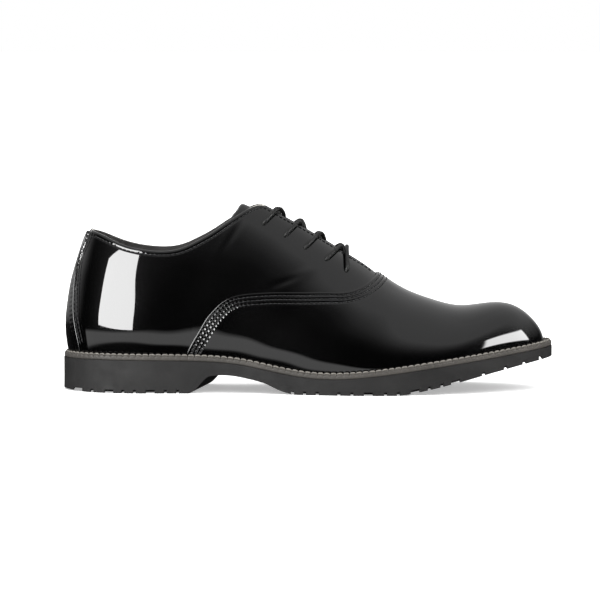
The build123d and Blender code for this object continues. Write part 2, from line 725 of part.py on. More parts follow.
board_low = FILLER_THICKNESS + GAP
board_top = FILLER_THICKNESS + INSOLE_THICKNESS
bed_low = board_top + 2 * GAP
bed_top = bed_low + FOOTBED_THICKNESS - COVER_THICKNESS

with BuildPart() as insole_board:
    add(slab(inside_outline(-LASTING_INSET, 1.5), board_low, board_top))
save(insole_board, "insole_board")

with BuildPart() as footbed:
    add(slab(inside_outline(-FOOTBED_INSET, FOOTBED_TOE), bed_low, bed_top))
save(footbed, "footbed")

with BuildPart() as sock_liner:
    add(slab(inside_outline(-FOOTBED_INSET, FOOTBED_TOE), bed_top + GAP, bed_top + GAP + COVER_THICKNESS))
save(sock_liner, "sock_liner")

# ---------------------------------------------------------------- the lace
LACE_RADIUS = 1.3
LACE_OUTSIDE, LACE_INSIDE = 1.85, -5.6
LACE_OVER, LACE_UNDER = -0.8, -6.1  # depths of the route where two strands cross on the centre line
BAR_LIFT = 2.8  # the bottom bar stands over the ridge here, clear of the strands under it
CREST_LIFT, CREST_OUT = 2.6, 0.7  # a strand climbing over the facing's edge stands proud of it
CREST, CROSSING, DIVE = 8.5, 12.0, 15.5  # along the shoe from the hole that a strand is going to
TIP_RADIUS, TIP_LENGTH = 1.5, 19.0
LARGEST_BEND = 14.0
SHARP_TURN, HOLE_BEND = 60.0, 2.4  # over the rim of a hole the lace bends this tightly
# Inside the shoe each end runs down the quarter and along the sock liner: (x, z, depth).
TAIL = [(-32.5, 90, -5.8), (-37, 73, -5.8), (-44, 56, -5.8), (-55, 41.5, -6.2), (-69, 34, -7), (-84, 32, -8.5),
        (-97, 31.8, -10)]


def ridge_point(x, depth):
    return Vector(*form_grid([float(upper_angle(x))], [math.pi / 2], -1, depth)[0, 0])


def edge_place(x, out=0.0):
    """The place of the facing's edge at x, in side elevation, or a little past it."""
    return (x, float(edge_height(x)) + out)


def half_way(first, second):
    return ((first[0] + second[0]) / 2, (first[1] + second[1]) / 2)


def lace_route(first_side):
    """One half of the lace: from the bottom bar's middle to the top, then the tail inside the shoe."""
    side = first_side
    last = len(EYELETS) - 1
    bar_end = edge_place(EYELETS[last][0] - 0.8, 0.3)
    points = [
        ridge_point(EYELETS[last][0] - 1.4, BAR_LIFT),
        on_form(*bar_end, side, LACE_OUTSIDE + 0.4)[0],
        on_form(*half_way(bar_end, EYELETS[last]), side, LACE_OUTSIDE + 0.1)[0],
    ]
    for number in range(last, -1, -1):
        place = EYELETS[number]
        points.append(on_form(*place, side, LACE_OUTSIDE)[0])
        points.append(on_form(*place, side, LACE_INSIDE)[0])
        if number:
            target = EYELETS[number - 1]
            dive = edge_place(target[0] + DIVE)
            points.append(on_form(*half_way(place, dive), side, LACE_INSIDE + 0.2)[0])
            points.append(on_form(*dive, side, LACE_INSIDE + 0.1)[0])
            over = side == (-1) ** (number + 1)
            points.append(ridge_point(target[0] + CROSSING, LACE_OVER if over else LACE_UNDER))
            side = -side
            crest = edge_place(target[0] + CREST, CREST_OUT)
            points.append(on_form(*crest, side, CREST_LIFT)[0])
            points.append(on_form(*half_way(crest, target), side, LACE_OUTSIDE + 0.1)[0])
    for x, z, depth in TAIL:
        points.append(on_form(x, z, side, depth)[0])
    return points


def bend_radii(points):
    """The radius of the bend at each inner point of a route."""
    radii = []
    for a, b, c in zip(points, points[1:], points[2:]):
        first, second = b - a, c - b
        turn = first.get_angle(second)
        largest = HOLE_BEND if turn > SHARP_TURN else LARGEST_BEND
        shorter = min(first.length, second.length)
        radii.append(min(largest, 0.45 * shorter / math.tan(math.radians(turn / 2))))
    return radii


with BuildPart() as lace:
    for first_side in SIDES.values():
        route = lace_route(first_side)
        radii = bend_radii(route)
        with BuildLine(mode=Mode.PRIVATE) as path:
            FilletPolyline(*route, radius=radii)
        with BuildSketch(Plane(origin=route[0], z_dir=route[1] - route[0])):
            Circle(LACE_RADIUS)
        sweep(path=path.wire())
        length = path.wire().length
        print("lace half", round(length, 1), "radii", [round(r, 1) for r in radii])
save(lace, "lace")
section_volume = 2 * length * math.pi * LACE_RADIUS**2
print("lace volume", round(lace.part.volume), "section times length", round(section_volume))

with BuildPart() as lace_tips:
    for first_side in SIDES.values():
        route = lace_route(first_side)
        heading = (route[-1] - route[-2]).normalized()
        with BuildSketch(Plane(origin=route[-1], z_dir=heading)):
            Circle(TIP_RADIUS)
        extrude(amount=TIP_LENGTH)
save(lace_tips, "lace_tips")
print("tongue pivot", [round(v, 2) for v in TONGUE_PIVOT])
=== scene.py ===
import math

import bmesh
import bpy
import numpy as np
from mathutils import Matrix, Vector


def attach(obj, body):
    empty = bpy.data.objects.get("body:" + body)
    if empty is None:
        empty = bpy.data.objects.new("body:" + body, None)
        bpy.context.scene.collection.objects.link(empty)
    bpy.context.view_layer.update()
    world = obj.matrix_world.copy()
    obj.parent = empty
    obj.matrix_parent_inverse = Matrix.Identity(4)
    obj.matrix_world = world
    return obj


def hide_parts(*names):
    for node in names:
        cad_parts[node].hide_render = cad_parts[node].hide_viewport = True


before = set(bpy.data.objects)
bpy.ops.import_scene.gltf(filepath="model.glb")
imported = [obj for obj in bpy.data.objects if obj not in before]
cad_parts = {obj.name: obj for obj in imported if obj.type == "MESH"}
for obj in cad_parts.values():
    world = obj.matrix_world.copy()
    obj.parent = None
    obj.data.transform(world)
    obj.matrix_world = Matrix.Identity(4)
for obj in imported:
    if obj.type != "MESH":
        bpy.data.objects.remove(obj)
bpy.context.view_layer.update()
rng = np.random.default_rng(7)
MM = 0.001

# ---------------------------------------------------------------- the form, as in the CAD, in millimetres
SOLE_LENGTH = 305.0
HALF_SOLE = SOLE_LENGTH / 2
HEEL_GAP, TOE_GAP = 4.3, 5.6
UPPER_MIDDLE = (HEEL_GAP - TOE_GAP) / 2
HALF_UPPER = HALF_SOLE - (HEEL_GAP + TOE_GAP) / 2
UPPER_SHARE = 0.885
HEEL_RADIUS, TOE_RADIUS = 27.0, 24.0
LATERAL_HALF = [(-112, 36.5), (-75, 37), (-35, 40.5), (5, 49.5), (35, 54.3), (70, 51.5), (100, 44),
                (130, 29.5)]
MEDIAL_HALF = [(-112, 35.5), (-75, 31), (-35, 30), (5, 39), (35, 48.5), (60, 51.5), (85, 49.5), (110, 42),
               (130, 31.5)]
SEAT_LINE = [(-153, 20.3), (-110, 20.3), (-71, 19.8), (-41, 17.6), (-23, 14.0), (-5, 10.8), (12, 9.7),
             (30, 10.5), (54, 13.2), (84, 17.4), (115, 21.9), (153, 27.4)]
RIDGE_LINE = [(-149, 112), (-130, 121), (-90, 128), (-45, 124.5), (-25, 115.8), (-13, 109), (4, 98.6),
              (14, 92.4), (26, 84.8), (37, 77.2), (45, 71.4), (55, 64.7), (75, 56.0), (95, 51.6),
              (115, 53.3), (130, 50.8), (140, 42.8)]
TOE_RISE = 119.0
BACK_LEAN = 24.0
BULGE = 3.4
BULGE_SCALE = 6.75  # rise * (1 - rise)^2 is at most 4/27
FULLNESS = [(-150, 2.2), (-60, 2.35), (-20, 2.2), (40, 1.6), (80, 1.6), (115, 2.2), (148, 2.0)]
TOPLINE = [(-139.5, 101.0), (-130, 98.3), (-120, 93.9), (-110, 90.4), (-100, 88.6), (-90, 88),
           (-80, 89.3), (-70, 93.5), (-60, 99), (-50, 105.7), (-42.5, 110.5), (-36, 114.2),
           (-32, 115.6)]
FACING_EDGE = [(-32, 115.6), (-29, 115.8), (-25.6, 114.6), (-14.4, 108), (-5, 102.8), (4.4, 97.2),
               (13.8, 91.4), (26.2, 83.6), (35.6, 77.6), (43, 72)]
VAMP_EDGE = [(-76, 17), (-75, 23.9), (-70.9, 32.8), (-67.1, 39.1), (-62.6, 46.6), (-57.5, 52.4),
             (-51.9, 57.2), (-44.4, 60.3), (-35.2, 61.7), (-22.5, 62.4), (-5, 62.5), (13.8, 62.4),
             (21.9, 62.4), (30.6, 64.4), (38.1, 68.4), (43.4, 73.2), (46, 79)]
BACKSTAY_FRONT = [(-136.2, 102), (-137.2, 96.8), (-141.7, 85.2), (-144.2, 72.9), (-145.4, 58.2), (-145, 45.9),
                  (-141.7, 27.9), (-139, 14)]
EYELETS = [(-27.8, 103.9), (-14.4, 96.6), (-1.8, 89.2), (11.1, 82), (23.9, 74.9)]


def cubic(points):
    """A smooth curve through (x, y) points, level with its end values past them."""
    x, y = np.array(sorted(points), float).T
    h = np.diff(x)
    n = len(x)
    rows = np.zeros((n, n))
    slopes = np.zeros(n)
    rows[0, 0] = rows[-1, -1] = 1
    for i in range(1, n - 1):
        rows[i, i - 1 : i + 2] = h[i - 1], 2 * (h[i - 1] + h[i]), h[i]
        slopes[i] = 6 * ((y[i + 1] - y[i]) / h[i] - (y[i] - y[i - 1]) / h[i - 1])
    bend = np.linalg.solve(rows, slopes)

    def at(value):
        v = np.clip(np.asarray(value, float), x[0], x[-1])
        i = np.clip(np.searchsorted(x, v) - 1, 0, n - 2)
        a, b = (x[i + 1] - v) / h[i], (v - x[i]) / h[i]
        return a * y[i] + b * y[i + 1] + ((a**3 - a) * bend[i] + (b**3 - b) * bend[i + 1]) * h[i] ** 2 / 6

    return at


def half_outline(stations):
    """Half the sole's width by angle, from the heel at 0 to the toe at pi."""
    shares = [(0.0, math.sqrt(HEEL_RADIUS * HALF_SOLE)), (math.pi, math.sqrt(TOE_RADIUS * HALF_SOLE))]
    for x, width in stations:
        angle = math.acos(-x / HALF_SOLE)
        shares.append((angle, width / math.sin(angle)))
    curve = cubic(shares)
    return lambda angle: curve(angle) * np.sin(angle)


half_width = {-1: half_outline(LATERAL_HALF), 1: half_outline(MEDIAL_HALF)}
seat_height = cubic(SEAT_LINE)
fullness = cubic(FULLNESS)


def upper_x(angle):
    return UPPER_MIDDLE - HALF_UPPER * np.cos(angle)


def upper_angle(x):
    return np.arccos(np.clip((UPPER_MIDDLE - np.asarray(x, float)) / HALF_UPPER, -1, 1))


def ridge_rise(x, z):
    """The form's height parameter that puts its ridge at x, z."""
    return (z - float(seat_height(x))) / math.cos(float(upper_angle(x)) / 2)


ridge_share = cubic(
    [(float(upper_angle(x)), ridge_rise(x, z)) for x, z in RIDGE_LINE] + [(math.pi, TOE_RISE)]
)


def form_point(angle, climb, side):
    """A point of the form. climb is 0 at the feather edge and pi/2 on the ridge."""
    step = 1e-4
    x, y = upper_x(angle), UPPER_SHARE * half_width[side](angle)
    run = upper_x(angle + step) - upper_x(angle - step)
    rise = UPPER_SHARE * (half_width[side](angle + step) - half_width[side](angle - step))
    length = np.hypot(run, rise)
    rise_share = np.sin(climb)
    s = np.clip(rise_share, 0, 1)
    bulge = BULGE * np.cos(angle / 2) * BULGE_SCALE * rise_share * (1 - rise_share) ** 2
    out_x, out_y = x - bulge * rise / length, y + bulge * run / length
    lean = BACK_LEAN * ((1 + np.cos(angle)) / 2) ** 5
    out_x = out_x + (x + lean - out_x) * (1 - np.sqrt(1 - np.minimum(s, 1) ** 2))
    out_y = out_y * np.sqrt(np.maximum(1 - s ** fullness(x), 0)) * np.sign(np.cos(climb) + 1e-12)
    height = ridge_share(angle) * np.cos(angle / 2)
    return np.stack([out_x, side * out_y, seat_height(x) + height * rise_share], -1)


def slopes_of(angle, climb, side):
    """The form's two tangents, per radian of angle and of climb, and its outward normal."""
    step = 1e-3
    along = (form_point(angle + step, climb, side) - form_point(angle - step, climb, side)) / (2 * step)
    up = (form_point(angle, climb + step, side) - form_point(angle, climb - step, side)) / (2 * step)
    normal = np.cross(along, up) * -side
    normal /= np.maximum(np.linalg.norm(normal, axis=-1, keepdims=True), 1e-9)
    return along, up, normal


def form_at(places, side, depth):
    """Points at depth from the form, for (angle, climb) pairs."""
    places = np.asarray(places, float)
    normal = slopes_of(places[..., 0], places[..., 1], side)[2]
    return form_point(places[..., 0], places[..., 1], side) + np.asarray(depth, float)[..., None] * normal


def locate(points, side):
    """(angle, climb) pairs of places given in side elevation (x, z)."""
    x, z = np.asarray(points, float).T
    angle = upper_angle(x)
    for _ in range(40):
        height = ridge_share(angle) * np.cos(angle / 2)
        climb = np.arcsin(np.clip((z - seat_height(upper_x(angle))) / height, 0, 1))
        miss = x - form_point(angle, climb, side)[..., 0]
        angle = upper_angle(upper_x(angle) + miss)
    return np.stack([angle, climb], -1)


def smooth_line(points, count=500):
    """A dense line through points given in side elevation."""
    p = np.array(points, float)
    run = np.concatenate([[0], np.cumsum(np.linalg.norm(np.diff(p, axis=0), axis=1))])
    t = np.linspace(0, run[-1], count)
    return np.stack([cubic(list(zip(run, p[:, 0])))(t), cubic(list(zip(run, p[:, 1])))(t)], -1)


def offset_line(places, side, distance, steps=4):
    """The line of (angle, climb) places moved across the form, square to itself, by distance."""
    places = np.array(places, float)
    for _ in range(steps):
        along, up, normal = slopes_of(places[:, 0], places[:, 1], side)
        points = form_point(places[:, 0], places[:, 1], side)
        heading = np.gradient(points, axis=0)
        heading /= np.maximum(np.linalg.norm(heading, axis=1, keepdims=True), 1e-9)
        across = np.cross(heading, normal) * -side
        move = across * distance / steps
        aa, uu, au = (along * along).sum(1), (up * up).sum(1), (along * up).sum(1)
        ma, mu = (move * along).sum(1), (move * up).sum(1)
        det = np.maximum(aa * uu - au * au, 1e-6)
        places = places + np.stack([(uu * ma - au * mu) / det, (aa * mu - au * ma) / det], 1)
        places[:, 1] = np.minimum(places[:, 1], math.pi / 2)
    return places


def column_climb(angles, line, side):
    """Where each column of the form, at its angle, crosses a line given in side elevation."""
    low, high = np.zeros(len(angles)), np.full(len(angles), math.pi / 2)
    for _ in range(36):
        middle = (low + high) / 2
        p = form_point(angles, middle, side)
        over = p[:, 2] > np.interp(p[:, 0], line[:, 0], line[:, 1], left=-1e3, right=1e3)
        high, low = np.where(over, middle, high), np.where(over, low, middle)
    return (low + high) / 2


# ---------------------------------------------------------------- meshes
def mesh_from(name, points, faces):
    """A smooth-shaded mesh object from points in millimetres."""
    mesh = bpy.data.meshes.new(name)
    corners = [tuple(p) for p in np.asarray(points) * MM]
    mesh.from_pydata(corners, [], [tuple(int(i) for i in f) for f in faces])
    mesh.update()
    mesh.shade_smooth()
    piece = bpy.data.objects.new(name, mesh)
    bpy.context.scene.collection.objects.link(piece)
    return piece


def grid_faces(rows, columns, flip=False, close=False):
    """The quads of a grid of points. close joins the last row to the first."""
    last = rows if close else rows - 1
    i, j = np.meshgrid(np.arange(last), np.arange(columns - 1), indexing="ij")
    a, b = i * columns + j, ((i + 1) % rows) * columns + j
    quads = np.stack([a, b, b + 1, a + 1], -1).reshape(-1, 4)
    return quads[:, ::-1] if flip else quads


def attribute(piece, name, values):
    layer = piece.data.attributes.new(name, "FLOAT", "POINT")
    layer.data.foreach_set("value", np.asarray(values, np.float32).ravel())


def line_field(points, line, reach=14.0):
    """For each point: how far it is from the line, and how far along the line its nearest place is."""
    run = np.concatenate([[0], np.cumsum(np.linalg.norm(np.diff(line, axis=0), axis=1))])
    away, along = np.full(len(points), 99.0), np.zeros(len(points))
    low, high = line.min(0) - reach, line.max(0) + reach
    near = np.nonzero(((points > low) & (points < high)).all(1))[0]
    for chunk in np.array_split(near, max(1, len(near) // 1500)):
        if not len(chunk):
            continue
        gap = np.linalg.norm(points[chunk, None] - line[None], axis=2)
        best = gap.argmin(1)
        away[chunk], along[chunk] = gap.min(1), run[best]
    return away, along


def join(name, pieces):
    """One mesh from several (points, faces) pairs."""
    points, faces, start = [], [], 0
    for p, f in pieces:
        points.append(p)
        faces.append(np.asarray(f) + start)
        start += len(p)
    return mesh_from(name, np.concatenate(points), np.concatenate(faces))


def merge_close(piece, distance=0.02):
    """Make one point of those that lie within that distance, in millimetres."""
    b = bmesh.new()
    b.from_mesh(piece.data)
    bmesh.ops.remove_doubles(b, verts=b.verts, dist=distance * MM)
    b.to_mesh(piece.data)
    b.free()
    piece.data.shade_smooth()


# ---------------------------------------------------------------- materials
# Rows of thread: how far in from the piece's edge each one runs, and the pitch and length of its stitches.
SEAM_ROWS = (2.2, 4.6, 7.0)
TOPLINE_ROWS = (3.0,)
BACKSTAY_ROWS = (2.0, 4.2)
STITCH_PITCH, STITCH_LENGTH = 2.8, 2.35
THREAD_RADIUS, THREAD_HEIGHT, THREAD_SIDES = 0.3, 0.16, 6


def material(name):
    m = bpy.data.materials.new(name)
    m.use_nodes = True
    nodes, links = m.node_tree.nodes, m.node_tree.links
    shader = nodes["Principled BSDF"]
    return m, nodes, links, shader


def node(nodes, kind, **values):
    n = nodes.new(kind)
    for key, value in values.items():
        if key in n.inputs.keys():
            n.inputs[key].default_value = value
        else:
            setattr(n, key, value)
    return n


def noise(nodes, links, scale, detail, roughness=0.5, stretch=None):
    where = node(nodes, "ShaderNodeTexCoord")
    source = where.outputs["Object"]
    if stretch:
        mapping = node(nodes, "ShaderNodeMapping")
        mapping.inputs["Scale"].default_value = stretch
        links.new(source, mapping.inputs["Vector"])
        source = mapping.outputs["Vector"]
    n = node(nodes, "ShaderNodeTexNoise")
    n.inputs["Scale"].default_value = scale
    n.inputs["Detail"].default_value = detail
    n.inputs["Roughness"].default_value = roughness
    links.new(source, n.inputs["Vector"])
    return n.outputs["Fac"]


def ramp(nodes, links, source, low, high, low_color, high_color):
    r = node(nodes, "ShaderNodeValToRGB")
    r.color_ramp.elements[0].position = low
    r.color_ramp.elements[1].position = high
    r.color_ramp.elements[0].color = (*low_color, 1)
    r.color_ramp.elements[1].color = (*high_color, 1)
    links.new(source, r.inputs["Fac"])
    return r.outputs["Color"]


def spread(nodes, links, source, low, high, out_low, out_high):
    r = node(nodes, "ShaderNodeMapRange")
    for key, value in zip(("From Min", "From Max", "To Min", "To Max"), (low, high, out_low, out_high)):
        r.inputs[key].default_value = value
    links.new(source, r.inputs["Value"])
    return r.outputs["Result"]


def math_node(nodes, links, kind, a, b=None):
    m = node(nodes, "ShaderNodeMath", operation=kind)
    for i, value in enumerate((a, b)):
        if value is None:
            continue
        if isinstance(value, (int, float)):
            m.inputs[i].default_value = value
        else:
            links.new(value, m.inputs[i])
    return m.outputs[0]


def bump(nodes, links, height, distance, strength, under=None):
    b = node(nodes, "ShaderNodeBump")
    b.inputs["Distance"].default_value = distance * MM
    b.inputs["Strength"].default_value = strength
    links.new(height, b.inputs["Height"])
    if under is not None:
        links.new(under, b.inputs["Normal"])
    return b.outputs["Normal"]


def patent_leather(name, seam_rows=()):
    """Black leather under a clear, hard, glossy coat, pulled in a little along each row of thread."""
    m, nodes, links, shader = material(name)
    links.new(ramp(nodes, links, noise(nodes, links, 60, 4), 0.3, 0.75, (0.0002, 0.0002, 0.0003),
                   (0.0005, 0.0005, 0.0006)), shader.inputs["Base Color"])
    shader.inputs["Roughness"].default_value = 0.35
    shader.inputs["Specular IOR Level"].default_value = 0.02
    shader.inputs["Coat Weight"].default_value = 1.0
    shader.inputs["Coat IOR"].default_value = 1.55
    links.new(spread(nodes, links, noise(nodes, links, 90, 3), 0.35, 0.7, 0.018, 0.045),
              shader.inputs["Coat Roughness"])
    normal = bump(nodes, links, noise(nodes, links, 30, 1, 0.3), 0.5, 0.16)
    if seam_rows:
        away = node(nodes, "ShaderNodeAttribute", attribute_name="seam_away").outputs["Fac"]
        along = node(nodes, "ShaderNodeAttribute", attribute_name="seam_along").outputs["Fac"]
        turn = math_node(nodes, links, "MULTIPLY", along, 2 * math.pi / STITCH_PITCH)
        wave = math_node(nodes, links, "SINE", turn)
        pucker = math_node(nodes, links, "ADD", math_node(nodes, links, "MULTIPLY", wave, 0.22), 0.78)
        total = None
        for row in seam_rows:
            gap = math_node(nodes, links, "ABSOLUTE", math_node(nodes, links, "SUBTRACT", away, row))
            dip = spread(nodes, links, gap, 0.0, 1.15, -1.0, 0.0)
            total = dip if total is None else math_node(nodes, links, "ADD", total, dip)
        height = math_node(nodes, links, "MULTIPLY", total, pucker)
        normal = bump(nodes, links, height, 0.28, 0.8, normal)
    links.new(normal, shader.inputs["Normal"])
    links.new(normal, shader.inputs["Coat Normal"])
    return m


def matte_leather(name, low, high, grain=500):
    m, nodes, links, shader = material(name)
    shade = noise(nodes, links, 90, 5)
    links.new(ramp(nodes, links, shade, 0.3, 0.7, low, high), shader.inputs["Base Color"])
    wear = noise(nodes, links, 200, 3)
    links.new(spread(nodes, links, wear, 0.3, 0.7, 0.5, 0.7), shader.inputs["Roughness"])
    where = node(nodes, "ShaderNodeTexCoord")
    cells = node(nodes, "ShaderNodeTexVoronoi", feature="DISTANCE_TO_EDGE")
    cells.inputs["Scale"].default_value = grain
    links.new(where.outputs["Object"], cells.inputs["Vector"])
    normal = bump(nodes, links, cells.outputs["Distance"], 0.08, 0.6)
    links.new(bump(nodes, links, noise(nodes, links, 40, 3), 0.4, 0.3, normal), shader.inputs["Normal"])
    return m


def rubber(name, low, high, roughness=(0.55, 0.75), speckle=700):
    m, nodes, links, shader = material(name)
    base = noise(nodes, links, 45, 6, 0.6)
    links.new(ramp(nodes, links, base, 0.3, 0.72, low, high), shader.inputs["Base Color"])
    wear = noise(nodes, links, 120, 5)
    links.new(spread(nodes, links, wear, 0.3, 0.7, *roughness), shader.inputs["Roughness"])
    normal = bump(nodes, links, noise(nodes, links, speckle, 4, 0.6), 0.1, 0.5)
    links.new(bump(nodes, links, noise(nodes, links, 30, 3), 0.3, 0.3, normal), shader.inputs["Normal"])
    shader.inputs["Specular IOR Level"].default_value = 0.15
    return m


def cloth(name, low, high):
    m, nodes, links, shader = material(name)
    where = node(nodes, "ShaderNodeTexCoord")
    weave = None
    for axis in ("X", "Z"):
        w = node(nodes, "ShaderNodeTexWave", wave_type="BANDS", bands_direction=axis)
        w.inputs["Scale"].default_value = 150
        w.inputs["Distortion"].default_value = 0.4
        links.new(where.outputs["Object"], w.inputs["Vector"])
        band = w.outputs["Fac"]
        weave = band if weave is None else math_node(nodes, links, "MULTIPLY", weave, band)
    shade = noise(nodes, links, 150, 4)
    links.new(ramp(nodes, links, shade, 0.3, 0.7, low, high), shader.inputs["Base Color"])
    shader.inputs["Roughness"].default_value = 0.85
    shader.inputs["Sheen Weight"].default_value = 0.25
    links.new(bump(nodes, links, weave, 0.15, 0.6), shader.inputs["Normal"])
    return m


def metal(name, color):
    m, nodes, links, shader = material(name)
    scratch = noise(nodes, links, 300, 4, 0.5, (1, 12, 1))
    worn = tuple(c * 0.85 for c in color)
    links.new(ramp(nodes, links, scratch, 0.3, 0.7, worn, color), shader.inputs["Base Color"])
    links.new(spread(nodes, links, scratch, 0.3, 0.7, 0.25, 0.4), shader.inputs["Roughness"])
    shader.inputs["Metallic"].default_value = 1.0
    return m


def thread_material(name, low, high):
    m, nodes, links, shader = material(name)
    links.new(ramp(nodes, links, noise(nodes, links, 700, 3), 0.3, 0.7, low, high), shader.inputs["Base Color"])
    shader.inputs["Roughness"].default_value = 0.5
    shader.inputs["Specular IOR Level"].default_value = 0.25
    twist = noise(nodes, links, 1800, 2, 0.5, (1, 1, 3))
    links.new(bump(nodes, links, twist, 0.12, 0.7), shader.inputs["Normal"])
    return m


PATENT = patent_leather("patent_leather_plain")
PATENT_VAMP = patent_leather("patent_leather_vamp", SEAM_ROWS)
PATENT_QUARTER = patent_leather("patent_leather_quarter", TOPLINE_ROWS)
PATENT_BACK = patent_leather("patent_leather_backstay", BACKSTAY_ROWS)
LINING = matte_leather("lining_leather", (0.03, 0.029, 0.028), (0.055, 0.052, 0.05))
SOCK = matte_leather("sock_leather", (0.04, 0.037, 0.035), (0.07, 0.066, 0.062), grain=350)
SOLE = rubber("sole_rubber", (0.01, 0.0098, 0.0098), (0.017, 0.0166, 0.0164))
WELT = rubber("welt_rubber", (0.04, 0.037, 0.033), (0.059, 0.054, 0.049), (0.45, 0.65), 900)
WELT_THREAD = thread_material("welt_thread", (0.12, 0.111, 0.099), (0.19, 0.178, 0.158))
THREAD = thread_material("seam_thread", (0.006, 0.006, 0.0065), (0.016, 0.016, 0.017))
CLOTH = cloth("backing_cloth", (0.5, 0.48, 0.43), (0.7, 0.67, 0.6))
BOARD = rubber("stiffener_board", (0.3, 0.27, 0.22), (0.42, 0.38, 0.31), (0.8, 0.9))
INSOLE = rubber("insole_board_fibre", (0.22, 0.14, 0.08), (0.33, 0.22, 0.13), (0.8, 0.95))
CORK = rubber("cork_granules", (0.12, 0.06, 0.025), (0.4, 0.24, 0.12), (0.85, 0.95), 250)
FOAM = rubber("open_foam", (0.05, 0.05, 0.05), (0.09, 0.09, 0.09), (0.85, 0.95), 1200)
STEEL = metal("shank_steel", (0.55, 0.55, 0.56))
BRASS = metal("eyelet_brass", (0.42, 0.36, 0.24))
LACE = thread_material("waxed_lace", (0.004, 0.004, 0.004), (0.011, 0.011, 0.0105))
TIP = patent_leather("lace_tip_plastic")


# ---------------------------------------------------------------- upper panels
SIDES = {"lateral": -1, "medial": 1}
TOP = smooth_line(TOPLINE + FACING_EDGE[1:])
SEAM = smooth_line(VAMP_EDGE)
BACKSEAM = smooth_line(BACKSTAY_FRONT)
HEEL_START = 1e-4  # the angle of the first column: the form has no direction along it at 0
QUARTER_FACE, VAMP_FACE, BACKSTAY_FACE = 0.0, 0.8, 0.95  # depths of the outer faces
LEATHER_ROWS = 110  # from the lower edge of a panel to where its upper edge starts to roll
FEATHER_CLIMB = -0.03  # a little under the feather edge, inside the welt
QUARTER_FRONT = (44.5, 70)
VAMP_BACK, VAMP_THROAT = (-75.4, 21.5), (43.6, 73.3)
# The parts of those lines that the puckers follow, and the parts that are stitched.
TOP_EDGE, TOP_STITCHED = TOP[:-30], TOP[22:-6]
SEAM_EDGE, SEAM_STITCHED = SEAM[20:-25], SEAM[30:-22]
BACK_EDGE, BACK_STITCHED = BACKSEAM[20:-60][::-1], BACKSEAM[25:-75]
# Soft creases in side elevation: (x, z) of the middle, its direction, its depth and its half width.
CREASES = [(-14, 69, 0.94, 0.34, 0.28, 2.2), (-6, 72, 0.9, 0.43, -0.2, 3.0), (-47, 97, 0.55, 0.83, 0.3, 2.4),
           (-52, 92, 0.5, 0.86, -0.18, 3.2)]
CREASE_LENGTH = 11.0


def surface_line(line, side, count=700):
    """A pattern line laid on the form of one side: (angle, climb) places, evenly spaced."""
    places = locate(line, side)
    points = form_point(places[:, 0], places[:, 1], side)
    run = np.concatenate([[0], np.cumsum(np.linalg.norm(np.diff(points, axis=0), axis=1))])
    t = np.linspace(0, run[-1], count)
    return np.stack([np.interp(t, run, places[:, 0]), np.interp(t, run, places[:, 1])], -1)


def relief(points):
    """Small rises and falls of the leather, in millimetres, where the quarter slackens."""
    x, _, z = points.T
    rise = np.zeros(len(x))
    for x0, z0, dx, dz, depth, width in CREASES:
        across = (x - x0) * dz - (z - z0) * dx
        along = (x - x0) * dx + (z - z0) * dz
        rise -= depth * np.exp(-((across / width) ** 2)) * np.exp(-((along / CREASE_LENGTH) ** 2))
    return rise


def waviness(points):
    """Slow waves of a hand-lasted surface."""
    x, y, z = points.T
    broad = 0.09 * np.sin(x / 8.3 + z / 11 + 1.2) * np.sin(z / 7.1 - x / 15)
    return broad + 0.04 * np.sin(z / 4.9 + y / 9 + 0.6) + 0.035 * np.sin(x / 5.7 - z / 6.6 + 2.1)


def panel(side, low, high, depth, roll):
    """The points of a panel between two lines of places, and how many columns and rows they make.

    Its upper edge is rolled inwards through half a turn of radius roll.
    """
    inner = offset_line(high, side, roll)
    steps = np.linspace(0, 1, LEATHER_ROWS)
    places = low[:, None] * (1 - steps)[None, :, None] + inner[:, None] * steps[None, :, None]
    depths = np.full(places.shape[:2], float(depth))
    turns = np.linspace(0, math.pi, 9)[1:]
    edge = [inner + (high - inner) * math.sin(t) for t in turns]
    edge_depth = [np.full(len(high), depth - roll * (1 - math.cos(t))) for t in turns]
    places = np.concatenate([places, np.stack(edge, 1)], 1)
    depths = np.concatenate([depths, np.stack(edge_depth, 1)], 1)
    flat = places.reshape(-1, 2)
    base = form_point(flat[:, 0], flat[:, 1], side)
    depths = depths.ravel() + relief(base) + waviness(base)
    return form_at(flat, side, depths), places.shape[:2]


def along_form(line, side, depth=0.0):
    return form_at(line, side, np.full(len(line), float(depth)))


def seam_attributes(piece, line, count, depth):
    """Where each point lies from the seam's edge, for the leather's puckers: how far away and how far along."""
    co = np.array([v.co for v in piece.data.vertices]) / MM
    away, along = np.full(len(co), 99.0), np.zeros(len(co))
    for side in SIDES.values():
        edge = along_form(surface_line(line, side, count), side, depth)
        mine = np.nonzero(co[:, 1] * side >= 0)[0]
        away[mine], along[mine] = line_field(co[mine], edge)
    attribute(piece, "seam_away", away)
    attribute(piece, "seam_along", along)


